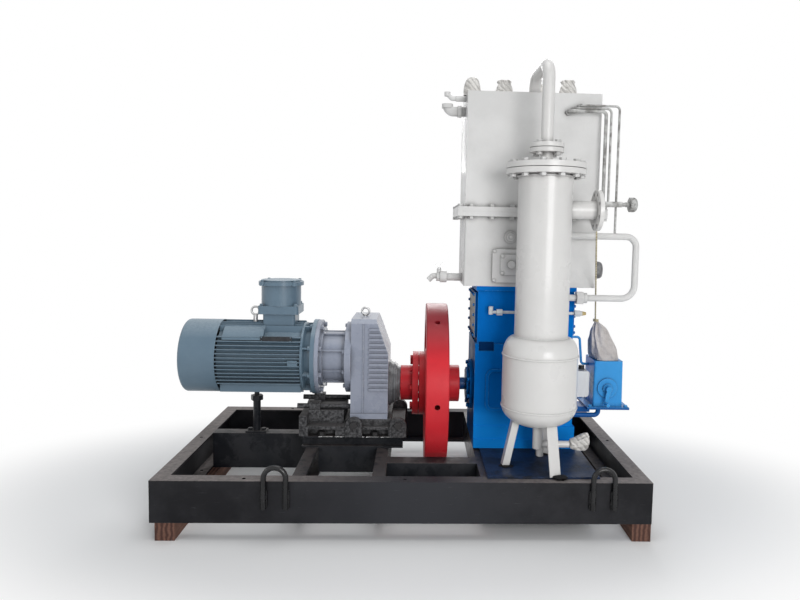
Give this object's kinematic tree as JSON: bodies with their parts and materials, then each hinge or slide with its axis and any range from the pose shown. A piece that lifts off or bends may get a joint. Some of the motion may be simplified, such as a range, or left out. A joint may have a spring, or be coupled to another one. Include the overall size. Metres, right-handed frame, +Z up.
{
  "type": "piston air compressor",
  "caption": "Skid-mounted piston air compressor with a geared motor, a flywheel coupling, a separator vessel and a mechanical lubricator.",
  "frame": {"origin": "middle of the bottom of the overall box, on the underside of the timber bearers", "axes": "+X along the shafts from the motor to the lubricator, +Y to the rear, away from the separator, +Z up"},
  "size_m": [2.436, 1.35, 2.3011],
  "materials": {
    "skid_black": "satin",
    "bearer_wood": "rough",
    "cast_black": "rough",
    "gearbox_grey": "satin",
    "neck_grey": "satin",
    "motor_grey": "satin",
    "zinc_steel": "satin",
    "winding_copper": "satin",
    "bearing_bronze": "satin",
    "machined_steel": "satin",
    "fan_plastic": "matt",
    "coupling_red": "gloss",
    "case_blue": "gloss",
    "machined_iron": "satin",
    "block_grey": "gloss",
    "vessel_grey": "satin",
    "line_steel": "satin",
    "lubricator_blue": "gloss",
    "motor_white": "satin",
    "wrap_film": "satin"
  },
  "bodies": {
    "frame": {"skid_front_rail": "skid_black", "skid_rear_rail": "skid_black", "skid_left_rail": "skid_black", "skid_right_rail": "skid_black", "skid_beams": "skid_black", "lifting_lugs": "skid_black", "motor_jack": "skid_black", "timber_bearers": "bearer_wood", "gearbox_base": "cast_black", "gearbox_housing": "gearbox_grey", "input_cover": "gearbox_grey", "motor_adapter": "gearbox_grey", "output_neck": "neck_grey", "motor_frame": "motor_grey", "motor_flange": "motor_grey", "fan_cowl": "motor_grey", "terminal_box": "motor_grey", "terminal_lid": "motor_grey", "hex_bolts": "zinc_steel", "eyebolts": "zinc_steel", "stator_core": "winding_copper", "bearings": "bearing_bronze", "crankcase": "case_blue", "crankcase_covers": "case_blue", "cylinders": "machined_iron", "lower_block": "block_grey", "water_jacket": "block_grey", "inspection_plate": "block_grey", "cooling_pipe": "block_grey", "water_fittings": "block_grey", "drain_cock": "block_grey", "delivery_pipe": "block_grey", "separator_cover": "block_grey", "separator_shell": "vessel_grey", "separator_legs": "vessel_grey", "oil_line": "line_steel", "gauge_lines": "line_steel", "lubricator": "lubricator_blue", "lubricator_motor": "motor_white", "film_wraps": "wrap_film", "bag": "wrap_film", "bag_tie": "wrap_film"},
    "rotor": {"motor_rotor": "machined_steel", "cooling_fan": "fan_plastic", "input_pinion": "machined_steel"},
    "crank": {"flywheel": "coupling_red", "crankshaft": "machined_steel", "coupling_hub": "coupling_red", "coupling_pins": "machined_steel", "output_shaft": "machined_steel", "output_gear": "machined_steel"},
    "rod_1": {"connecting_rod_1": "machined_steel"},
    "rod_2": {"connecting_rod_2": "machined_steel"},
    "row_1": {"piston_1": "machined_iron", "crosshead_1": "machined_iron"},
    "row_2": {"piston_2": "machined_iron", "crosshead_2": "machined_iron"},
    "cock_lever": {"drain_lever": "zinc_steel"},
    "valve_wheel": {"handwheel": "line_steel"},
    "oil_crank": {"lubricator_crank": "lubricator_blue"}
  },
  "joints": [
    {"name": "crank_spin", "type": "hinge", "parent": "frame", "child": "crank", "pos_m": [0.154, 0.04, 0.598], "axis": [1, 0, 0], "continuous": true},
    {"name": "rotor_spin", "type": "hinge", "parent": "frame", "child": "rotor", "pos_m": [-0.795, 0.04, 0.742], "axis": [1, 0, 0], "continuous": true},
    {"name": "rod_1_turn", "type": "hinge", "parent": "crank", "child": "rod_1", "pos_m": [0.4945, 0.04, 0.636], "axis": [1, 0, 0], "continuous": true},
    {"name": "rod_2_turn", "type": "hinge", "parent": "crank", "child": "rod_2", "pos_m": [0.7545, 0.04, 0.56], "axis": [1, 0, 0], "continuous": true},
    {"name": "piston_1_slide", "type": "slide", "parent": "frame", "child": "row_1", "axis": [0, 0, 1], "range_m": [-0.076, 0]},
    {"name": "piston_2_slide", "type": "slide", "parent": "frame", "child": "row_2", "axis": [0, 0, 1], "range_m": [0, 0.076]},
    {"name": "drain_lever_turn", "type": "hinge", "parent": "frame", "child": "cock_lever", "pos_m": [0.162, 0, 1.245], "axis": [0, 0, 1], "range_deg": [0, 90]},
    {"name": "handwheel_turn", "type": "hinge", "parent": "frame", "child": "valve_wheel", "pos_m": [1.13, -0.23, 1.61], "axis": [1, 0, 0], "range_deg": [0, 1080]},
    {"name": "oil_crank_turn", "type": "hinge", "parent": "frame", "child": "oil_crank", "pos_m": [1.097, -0.14, 0.612], "axis": [0, 1, 0], "continuous": true}
  ],
  "couplings": [
    {"joint": "rotor_spin", "follows": "crank_spin", "ratio": -3},
    {"joint": "rod_1_turn", "follows": "crank_spin", "ratio": -1},
    {"joint": "rod_2_turn", "follows": "crank_spin", "ratio": -1},
    {"joint": "piston_2_slide", "follows": "piston_1_slide", "ratio": -1}
  ]
}
